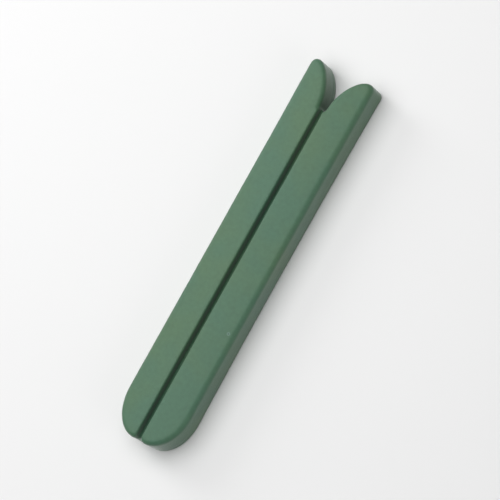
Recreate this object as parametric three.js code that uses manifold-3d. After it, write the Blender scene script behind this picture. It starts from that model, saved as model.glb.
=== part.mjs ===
// A slim double bar of green floral foam. Two long half-bars, mirror images of each other, lie flat
// side by side: a rounded nose at -Y, a swallowtail notch at +Y and a deep groove along the seam between
// them. Millimetres, +Z up, origin under the middle of the pair on the surface that it lies on.
import * as THREE from "three";
import { mergeVertices } from "three/addons/utils/BufferGeometryUtils.js";
import Module from "manifold-3d";

// Driving dimensions of one half-bar.
const BAR_LENGTH = 230; // nose to tip, along Y
const BAR_WIDTH = 20.5; // seam face to outer side
const BAR_HEIGHT = 19.4; // resting face to the crest beside the seam
const SEAM_GAP = 0.3; // clearance between the two seam faces
const CROWN_DROP = 2.2; // how much lower the top is at the outer sides than at the seam
const EDGE_ROUND = 2.8; // soft edge all round the top

// Groove along the seam. Each half-bar has one side of it and half of its floor.
const GROOVE_WIDTH = 3.2;
const GROOVE_DEPTH = 6; // below the crest

// Plan shape at the two ends.
const NOSE_LENGTH = 23.4; // length over which the nose curves round to the outer side
const NOSE_CREST = 1.2; // round of the crest line between the nose and the seam
const NOTCH_LENGTH = 24.2; // tip to the bottom of the notch
const NOTCH_FLOOR = 2.3; // half the width of the notch at its bottom
const TIP_CREST = 1; // round of the crest line between the tip and the outer side

// How full the two long end curves are: how far their handles reach across the bar and along it,
// both from the very end of the nose or the tip.
const NOSE_HANDLES = { across: 7.4, along: 8.6 };
const NOTCH_HANDLES = { across: 5.4, along: 10.8 };

const CURVE_SEGMENTS = 20;
const CORNER_SEGMENTS = 8;
const EDGE_SEGMENTS = 6;
const PAST = 5; // how far a cutting solid reaches past the bar
const MERGE = 1e-4; // points closer than this are one point

const NOSE_END = -BAR_LENGTH / 2;
const TIP_END = BAR_LENGTH / 2;
const HALF_WIDTH = SEAM_GAP / 2 + BAR_WIDTH;
const NOSE_CORNER = NOSE_CREST + EDGE_ROUND; // the same two rounds at the foot of the soft edge
const TIP_CORNER = TIP_CREST + EDGE_ROUND;
const BLOCK_BASE = -2 * EDGE_ROUND - PAST;

const X_AXIS = new THREE.Vector3(1, 0, 0);
const Y_AXIS = new THREE.Vector3(0, 1, 0);
const Z_AXIS = new THREE.Vector3(0, 0, 1);

const wasm = await Module();
wasm.setup();

// A closed geometry as a solid that can be cut.
function solidOf(geometry) {
  const bare = new THREE.BufferGeometry();
  bare.setAttribute("position", geometry.getAttribute("position"));
  bare.setIndex(geometry.index);
  const merged = mergeVertices(bare, MERGE);
  const vertProperties = new Float32Array(merged.getAttribute("position").array);
  const triVerts = new Uint32Array(merged.index.array);
  return new wasm.Manifold(new wasm.Mesh({ numProp: 3, vertProperties, triVerts }));
}

// A cut solid as a geometry again, flat-shaded.
function geometryOf(solid) {
  const { vertProperties, triVerts } = solid.getMesh();
  const shared = new THREE.BufferGeometry();
  shared.setAttribute("position", new THREE.BufferAttribute(vertProperties, 3));
  shared.setIndex(new THREE.BufferAttribute(triVerts, 1));
  const geometry = shared.toNonIndexed();
  geometry.computeVertexNormals();
  return geometry;
}

// One closed outline from runs of points, without the doubles where one run meets the next.
function closedShape(...runs) {
  const points = runs.flat();
  const apart = points.filter((point, i) => point.distanceTo(points[(i + 1) % points.length]) > MERGE);
  return new THREE.Shape(apart);
}

// Part of a circle as points, counterclockwise.
function arc(x, y, radius, from, to, segments) {
  return new THREE.EllipseCurve(x, y, radius, radius, from, to).getPoints(segments);
}

// Plan outline of one half-bar; side is +1 for the right one and -1 for its mirror image.
function halfBarOutline(side) {
  const seam = SEAM_GAP / 2;
  const noseStart = seam + NOSE_CORNER;
  const notchBottom = TIP_END - NOTCH_LENGTH;
  const tipStart = HALF_WIDTH - TIP_CORNER;

  const nose = new THREE.CubicBezierCurve(
    new THREE.Vector2(noseStart, NOSE_END),
    new THREE.Vector2(noseStart + NOSE_HANDLES.across, NOSE_END),
    new THREE.Vector2(HALF_WIDTH, NOSE_END + NOSE_HANDLES.along),
    new THREE.Vector2(HALF_WIDTH, NOSE_END + NOSE_LENGTH),
  );
  const notch = new THREE.CubicBezierCurve(
    new THREE.Vector2(tipStart, TIP_END),
    new THREE.Vector2(tipStart - NOTCH_HANDLES.across, TIP_END),
    new THREE.Vector2(NOTCH_FLOOR, TIP_END - NOTCH_HANDLES.along),
    new THREE.Vector2(NOTCH_FLOOR, notchBottom),
  );
  const outline = closedShape(
    arc(noseStart, NOSE_END + NOSE_CORNER, NOSE_CORNER, Math.PI, 1.5 * Math.PI, CORNER_SEGMENTS),
    nose.getPoints(CURVE_SEGMENTS),
    arc(tipStart, TIP_END - TIP_CORNER, TIP_CORNER, 0, Math.PI / 2, CORNER_SEGMENTS),
    notch.getPoints(CURVE_SEGMENTS),
    [new THREE.Vector2(seam, notchBottom)],
  );
  const mirrored = outline.getPoints().map((point) => new THREE.Vector2(side * point.x, point.y));
  return new THREE.Shape(mirrored);
}

// The outline raised to full height, with the soft edge round its top. It starts below the resting
// face, so that its lower round is cut away with the underside.
function softEdgedBar(side) {
  const bar = new THREE.ExtrudeGeometry(halfBarOutline(side), {
    depth: BAR_HEIGHT,
    bevelThickness: EDGE_ROUND,
    bevelSize: EDGE_ROUND,
    bevelOffset: -EDGE_ROUND,
    bevelSegments: EDGE_SEGMENTS,
  });
  bar.translate(0, 0, -EDGE_ROUND);
  return bar;
}

// Everything under the crowned top of the pair: a shallow arc across, drawn out along Y.
function crownBlock() {
  const radius = (HALF_WIDTH ** 2 + CROWN_DROP ** 2) / (2 * CROWN_DROP);
  const edge = HALF_WIDTH + PAST;
  const reach = Math.asin(edge / radius);
  const top = arc(0, BAR_HEIGHT - radius, radius, Math.PI / 2 - reach, Math.PI / 2 + reach, CURVE_SEGMENTS);
  const section = closedShape([new THREE.Vector2(-edge, BLOCK_BASE), new THREE.Vector2(edge, BLOCK_BASE)], top);
  const block = new THREE.ExtrudeGeometry(section, { depth: BAR_LENGTH + 2 * PAST, bevelEnabled: false });
  block.applyMatrix4(new THREE.Matrix4().makeBasis(X_AXIS, Z_AXIS, Y_AXIS.clone().negate()));
  block.translate(0, TIP_END + PAST, 0);
  return block;
}

// The space of the groove, from its floor up and open at the nose and in the notch.
function grooveBlock() {
  const height = GROOVE_DEPTH + PAST;
  const block = new THREE.BoxGeometry(GROOVE_WIDTH, BAR_LENGTH + 2 * PAST, height);
  block.translate(0, 0, BAR_HEIGHT - GROOVE_DEPTH + height / 2);
  return block;
}

// Everything under the resting face.
function undersideBlock() {
  const block = new THREE.BoxGeometry(2 * (HALF_WIDTH + PAST), BAR_LENGTH + 2 * PAST, -BLOCK_BASE);
  block.translate(0, 0, BLOCK_BASE / 2);
  return block;
}

const crown = solidOf(crownBlock());
const groove = solidOf(grooveBlock());
const underside = solidOf(undersideBlock());

function halfBar(name, side) {
  const solid = solidOf(softEdgedBar(side)).intersect(crown).subtract(groove).subtract(underside);
  const foam = new THREE.MeshStandardMaterial({ color: 0x597761, roughness: 0.9, metalness: 0 });
  const bar = new THREE.Mesh(geometryOf(solid), foam);
  bar.name = name;
  return bar;
}

const doubleBar = new THREE.Group();
doubleBar.add(halfBar("left_half_bar", -1));
doubleBar.add(halfBar("right_half_bar", 1));

export default doubleBar;
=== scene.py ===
import math

import bpy
from mathutils import Matrix, Vector


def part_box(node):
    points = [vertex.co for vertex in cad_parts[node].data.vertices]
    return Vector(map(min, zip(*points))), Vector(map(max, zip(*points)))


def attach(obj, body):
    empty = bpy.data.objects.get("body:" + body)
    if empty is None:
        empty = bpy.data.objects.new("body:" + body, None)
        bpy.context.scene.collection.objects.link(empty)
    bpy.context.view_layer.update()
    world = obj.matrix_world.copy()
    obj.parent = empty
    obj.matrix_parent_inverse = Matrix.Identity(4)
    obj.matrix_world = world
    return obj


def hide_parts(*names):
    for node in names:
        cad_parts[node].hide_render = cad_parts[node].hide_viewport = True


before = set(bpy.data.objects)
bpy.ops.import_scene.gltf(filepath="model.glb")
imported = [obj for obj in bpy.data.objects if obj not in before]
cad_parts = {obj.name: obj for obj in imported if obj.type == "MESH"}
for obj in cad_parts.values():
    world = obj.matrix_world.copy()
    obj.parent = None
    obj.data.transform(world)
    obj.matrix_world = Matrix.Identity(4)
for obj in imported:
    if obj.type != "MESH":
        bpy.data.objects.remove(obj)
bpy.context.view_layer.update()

# ------------------------------------------------------------------ right half-bar
# One of the two half-bars of the double bar, a single piece of rigid, fine-celled floral foam.
# It is cut to its outline and rubbed smooth: rounded along every top edge, a little crowned, flat
# underneath. Nothing fixes it; it lies beside the other half on its own flat underside.
low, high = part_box("right_half_bar")
seam = low.x
outer = high.x
nose_end = low.y
tip_end = high.y
height = high.z

nose_corner = 0.004  # round between the seam face and the nose
nose_length = 0.0234  # the nose curves round to the outer side over this length
nose_fullness = Vector((0.0074, 0.0086))  # that curve's handles, across and along, from the end
tip_corner = 0.0038  # round between the outer side and the tip
notch_length = 0.0242
notch_floor = 0.0023  # half the width of the notch at its bottom
notch_fullness = Vector((0.0054, 0.0108))
notch_bottom = tip_end - notch_length
ROUND = 0.5523  # handle of a quarter circle, as a share of its radius


def draw_outline(name, corners):
    """A closed flat curve. Each corner is a point, the handle coming in and the one going out."""
    bpy.ops.object.select_all(action="DESELECT")
    bpy.ops.curve.primitive_bezier_curve_add(location=(0, 0, 0))
    outline = bpy.context.object
    outline.name = name
    spline = outline.data.splines[0]
    spline.bezier_points.add(len(corners) - len(spline.bezier_points))
    for point, (place, before, after) in zip(spline.bezier_points, corners):
        point.handle_left_type = "FREE"
        point.handle_right_type = "FREE"
        point.co = (*place, 0)
        point.handle_left = (place[0] + before[0], place[1] + before[1], 0)
        point.handle_right = (place[0] + after[0], place[1] + after[1], 0)
    spline.use_cyclic_u = True
    outline.data.resolution_u = 24
    bpy.ops.object.convert(target="MESH")
    return bpy.context.object


still = (0, 0)
bar = draw_outline("right_half_foam", [
    ((seam, nose_end + nose_corner), still, (0, -ROUND * nose_corner)),
    ((seam + nose_corner, nose_end), (-ROUND * nose_corner, 0), (nose_fullness.x, 0)),
    ((outer, nose_end + nose_length), (0, nose_fullness.y - nose_length), still),
    ((outer, tip_end - tip_corner), still, (0, ROUND * tip_corner)),
    ((outer - tip_corner, tip_end), (ROUND * tip_corner, 0), (-notch_fullness.x, 0)),
    ((notch_floor, notch_bottom), (0, notch_length - notch_fullness.y), still),
    ((seam, notch_bottom), still, still),
])

edge_round = 0.0028  # soft edge all round the top
foot_round = 0.0005  # the bottom edge is only just broken
NEAR = 1e-6  # places closer than this are the same


def pick_rim(piece, level):
    """Selects the edges of the outline at one level."""
    bpy.ops.mesh.select_all(action="DESELECT")
    bpy.ops.object.mode_set(mode="OBJECT")
    spots = piece.data.vertices
    for edge in piece.data.edges:
        edge.select = all(abs(spots[i].co.z - level) < NEAR for i in edge.vertices)
    bpy.ops.object.mode_set(mode="EDIT")
    bpy.ops.mesh.select_mode(type="EDGE")


bpy.ops.object.mode_set(mode="EDIT")
bpy.ops.mesh.select_all(action="SELECT")
bpy.ops.mesh.remove_doubles(threshold=NEAR)
bpy.ops.mesh.select_all(action="SELECT")
bpy.ops.mesh.edge_face_add()
bpy.ops.mesh.extrude_region_move(TRANSFORM_OT_translate={"value": (0, 0, height)})
bpy.ops.mesh.select_all(action="SELECT")
bpy.ops.mesh.normals_make_consistent(inside=False)
pick_rim(bar, height)
bpy.ops.mesh.bevel(offset=edge_round, segments=10, profile=0.5, affect="EDGES", clamp_overlap=False)
pick_rim(bar, 0)
bpy.ops.mesh.bevel(offset=foot_round, segments=3, profile=0.5, affect="EDGES", clamp_overlap=False)
bpy.ops.object.mode_set(mode="OBJECT")

skin_cell = 0.00052  # fine enough for the rounds and for the marks of handling


def even_skin(piece):
    """Makes the piece one closed skin of small even cells."""
    bpy.ops.object.select_all(action="DESELECT")
    bpy.context.view_layer.objects.active = piece
    bpy.ops.object.modifier_add(type="REMESH")
    piece.modifiers[-1].mode = "VOXEL"
    piece.modifiers[-1].voxel_size = skin_cell
    bpy.ops.object.modifier_apply(modifier=piece.modifiers[-1].name)


# The groove: this half has one steep side of it and half of its floor.
groove_side = 0.0016
groove_depth = 0.006
past = 0.01  # how far the cutter reaches past the bar
cutter_height = groove_depth + past
even_skin(bar)
bpy.ops.mesh.primitive_cube_add(size=1, location=(0, 0, height - groove_depth + cutter_height / 2))
cutter = bpy.context.object
cutter.scale = (2 * groove_side, tip_end - nose_end + 2 * past, cutter_height)
bpy.ops.object.select_all(action="DESELECT")
bpy.context.view_layer.objects.active = bar
bpy.ops.object.modifier_add(type="BOOLEAN")
bar.modifiers[-1].operation = "DIFFERENCE"
bar.modifiers[-1].object = cutter
bpy.ops.object.modifier_apply(modifier=bar.modifiers[-1].name)
bpy.data.objects.remove(cutter)
even_skin(bar)

crown_drop = 0.0022  # the top is this much lower at the outer side than at the seam
crown_power = 2.0  # nearly level beside the groove, steeper towards the outer side
drawn_in = 0.0012  # the outer wall leans in this much at its foot, in the middle of the length
half_length = (tip_end - nose_end) / 2

# A cage round the bar presses in the crown from above and the lean of the wall at the foot.

bpy.ops.object.add(type="LATTICE", location=((seam + outer) / 2, 0, height / 2))
cage = bpy.context.object
cage.scale = (outer - seam, tip_end - nose_end, height)
bpy.context.view_layer.update()
cage.data.points_u = 7
cage.data.points_v = 47
cage.data.points_w = 2
for axis in "uvw":
    setattr(cage.data, "interpolation_type_" + axis, "KEY_LINEAR")
for point in cage.data.points:
    place = cage.matrix_world @ point.co
    share = place.x / outer
    if place.z > height / 2:
        point.co_deform.z -= crown_drop * share ** crown_power / height
    else:
        lean = drawn_in * share ** 2 * (1 - (place.y / half_length) ** 2)
        point.co_deform.x -= lean / (outer - seam)
bpy.ops.object.select_all(action="DESELECT")
bpy.context.view_layer.objects.active = bar
bpy.ops.object.modifier_add(type="LATTICE")
bar.modifiers[-1].object = cage
bpy.ops.object.modifier_apply(modifier=bar.modifiers[-1].name)
bpy.data.objects.remove(cage)

# Rubbing takes the sharpness off the groove and the foot.
bpy.ops.object.modifier_add(type="SMOOTH")
bar.modifiers[-1].factor = 0.5
bar.modifiers[-1].iterations = 6
bpy.ops.object.modifier_apply(modifier=bar.modifiers[-1].name)

# ------------------------------------------------------------------ left half-bar
# The other half of the pair, a single piece of the same foam cut to the mirror image of the first.
# Nothing fixes it either: the two seam faces only lie close beside each other under the groove.
bpy.ops.object.select_all(action="DESELECT")
bar.select_set(True)
bpy.ops.object.duplicate(linked=False)
other = bpy.context.object
other.name = "left_half_foam"
bpy.ops.object.mode_set(mode="EDIT")
bpy.ops.mesh.select_all(action="SELECT")
bpy.ops.transform.resize(value=(-1, 1, 1), center_override=(0, 0, 0))
bpy.ops.mesh.normals_make_consistent(inside=False)
bpy.ops.object.mode_set(mode="OBJECT")


# ------------------------------------------------------------------ both half-bars
# What the two pieces share: the marks of handling and the look of fine-celled phenolic foam,
# dry, matt and sage green. Each half rides its own body and fills its whole volume.
foot_clear = 0.0045  # the marks stay this far above the foot
seam_clear = 0.0015  # and this far from the seam


def handle(piece):
    """The slow unevenness that cutting and rubbing by hand leaves, off the foot and the seam."""
    bpy.ops.object.select_all(action="DESELECT")
    piece.select_set(True)
    bpy.context.view_layer.objects.active = piece
    group = piece.vertex_groups.new(name="rubbed")
    spots = piece.data.vertices
    touched = [v.index for v in spots if v.co.z > foot_clear and abs(v.co.x) > seam_clear]
    group.add(touched, 1, "REPLACE")
    for size, depth in ((0.035, 0.0003), (0.007, 0.00006)):
        wave = bpy.data.textures.new("rubbing", "CLOUDS")
        wave.noise_scale = size
        bpy.ops.object.modifier_add(type="DISPLACE")
        swell = piece.modifiers[-1]
        swell.texture = wave
        swell.texture_coords = "GLOBAL"
        swell.mid_level = 0.5
        swell.strength = depth
        swell.vertex_group = "rubbed"  # group.name can read empty once a modifier is applied
        bpy.ops.object.modifier_apply(modifier=swell.name)
    bpy.ops.object.shade_smooth()


handle(bar)
handle(other)


def foam(name):
    """Fine-celled sage-green foam, matt, clouded a little by how hard each place was rubbed."""
    made = bpy.data.materials.new(name)
    made.use_nodes = True
    nodes = made.node_tree.nodes
    link = made.node_tree.links.new
    shader = nodes["Principled BSDF"]
    shader.inputs["Roughness"].default_value = 0.58
    shader.inputs["Sheen Weight"].default_value = 0.5
    shader.inputs["Sheen Roughness"].default_value = 0.35
    place = nodes.new("ShaderNodeTexCoord").outputs["Object"]

    def cloud(scale, detail):
        node = nodes.new("ShaderNodeTexNoise")
        node.inputs["Scale"].default_value = scale
        node.inputs["Detail"].default_value = detail
        link(place, node.inputs["Vector"])
        return node.outputs["Fac"]

    def spread(value, low_in, high_in, low_out, high_out):
        node = nodes.new("ShaderNodeMapRange")
        node.inputs["From Min"].default_value = low_in
        node.inputs["From Max"].default_value = high_in
        node.inputs["To Min"].default_value = low_out
        node.inputs["To Max"].default_value = high_out
        link(value, node.inputs["Value"])
        return node.outputs["Result"]

    def blend(kind, share, first, second):
        node = nodes.new("ShaderNodeMix")
        node.data_type = "RGBA"
        node.blend_type = kind
        for value, socket in ((share, "Factor"), (first, "A"), (second, "B")):
            fits = [s for s in node.inputs if s.name == socket and s.enabled and s.type != "VECTOR"]
            target = fits[0]
            if isinstance(value, bpy.types.NodeSocket):
                link(value, target)
            else:
                target.default_value = value
        return next(s for s in node.outputs if s.enabled)

    warm = (0.062, 0.140, 0.071, 1)
    cool = (0.052, 0.136, 0.080, 1)
    base = blend("MIX", spread(cloud(34, 2), 0.35, 0.65, 0, 1), warm, cool)

    cells = nodes.new("ShaderNodeTexVoronoi")
    cells.inputs["Scale"].default_value = 2200
    link(place, cells.inputs["Vector"])
    pores = spread(cells.outputs["Distance"], 0.1, 0.75, 0, 1)
    tone = spread(cloud(420, 4), 0.3, 0.7, 0.94, 1.06)
    grain = nodes.new("ShaderNodeCombineColor")
    for channel in ("Red", "Green", "Blue"):
        link(tone, grain.inputs[channel])
    base = blend("MULTIPLY", 1.0, base, grain.outputs["Color"])

    # One small chip in the top of the right half: a paler ring with a pit in it, the pit's darkness
    # painted shade.
    chip = nodes.new("ShaderNodeVectorMath")
    chip.operation = "DISTANCE"
    chip.inputs[1].default_value = (0.0167, -0.0409, 0.0180)
    link(place, chip.inputs[0])
    pit_painted_shade = spread(chip.outputs["Value"], 0.0003, 0.0006, 0.7, 0)
    ring = spread(chip.outputs["Value"], 0.0007, 0.0012, 0.5, 0)
    base = blend("MIX", ring, base, (0.16, 0.26, 0.22, 1))
    # Painted shade: the pit is only a darkened colour, with no hollow cut into the mesh.
    base = blend("MIX", pit_painted_shade, base, (0.03, 0.08, 0.06, 1))
    link(base, shader.inputs["Base Color"])

    fine = nodes.new("ShaderNodeBump")
    fine.inputs["Strength"].default_value = 0.25
    fine.inputs["Distance"].default_value = 0.00008
    link(pores, fine.inputs["Height"])
    rough = nodes.new("ShaderNodeBump")
    rough.inputs["Strength"].default_value = 0.35
    rough.inputs["Distance"].default_value = 0.00012
    link(cloud(700, 3), rough.inputs["Height"])
    link(fine.outputs["Normal"], rough.inputs["Normal"])
    link(rough.outputs["Normal"], shader.inputs["Normal"])
    return made


green_foam = foam("green_foam")
for piece, node, body in ((bar, "right_half_bar", "right_half"), (other, "left_half_bar", "left_half")):
    piece.data.materials.clear()
    piece.data.materials.append(green_foam)
    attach(piece, body)
    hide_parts(node)

# ------------------------------------------------------------------ studio
# A pale matt table under one big soft light from above and a little to the left, with a weaker
# low light from either side and a little even light from all round.
bpy.ops.mesh.primitive_plane_add(size=6, location=(0, 0, 0))
table = bpy.context.object
table.name = "table"
paper = bpy.data.materials.new("paper")
paper.use_nodes = True
paper.node_tree.nodes["Principled BSDF"].inputs["Base Color"].default_value = (0.80, 0.80, 0.80, 1)
paper.node_tree.nodes["Principled BSDF"].inputs["Roughness"].default_value = 0.9
table.data.materials.append(paper)

world = bpy.data.worlds.new("room")
world.use_nodes = True
world.node_tree.nodes["Background"].inputs["Color"].default_value = (1, 1, 1, 1)
world.node_tree.nodes["Background"].inputs["Strength"].default_value = 0.13
bpy.context.scene.world = world

bpy.ops.object.light_add(type="AREA", location=(-0.37, 0.1, 1.2))
window = bpy.context.object
window.name = "soft_light"
window.data.shape = "RECTANGLE"
window.data.size = 1.66
window.data.size_y = 1.6
window.data.energy = 20.3
bpy.ops.object.light_add(type="AREA", location=(-1.3, 0.3, 0.6))
side = bpy.context.object
side.name = "side_light"
side.data.shape = "DISK"
side.data.size = 0.7
side.data.energy = 7
side.rotation_euler = (-side.location).to_track_quat("-Z", "Y").to_euler()
bpy.ops.object.light_add(type="AREA", location=(1.3, -0.1, 0.6))
far_side = bpy.context.object
far_side.name = "far_side_light"
far_side.data.shape = "DISK"
far_side.data.size = 0.9
far_side.data.energy = 2.5
far_side.rotation_euler = (-far_side.location).to_track_quat("-Z", "Y").to_euler()

tilt = math.radians(23.95)
turn = math.radians(-5.57)
roll = math.radians(29.2)
distance = 1.813
flat = math.sin(tilt)
back = Vector((flat * math.cos(turn), flat * math.sin(turn), math.cos(tilt)))
level_up = (Vector((0, 1, 0)) - back * back.y).normalized()
level_right = level_up.cross(back)
right = level_right * math.cos(roll) + level_up * math.sin(roll)
up = back.cross(right)
bpy.ops.object.camera_add(location=back * distance)
camera = bpy.context.object
camera.rotation_euler = Matrix((right, up, back)).transposed().to_euler()
camera.data.lens = 238.2
camera.data.shift_x = -0.0032
camera.data.shift_y = 0.0245
bpy.context.scene.camera = camera
bpy.context.scene.view_settings.view_transform = "Standard"
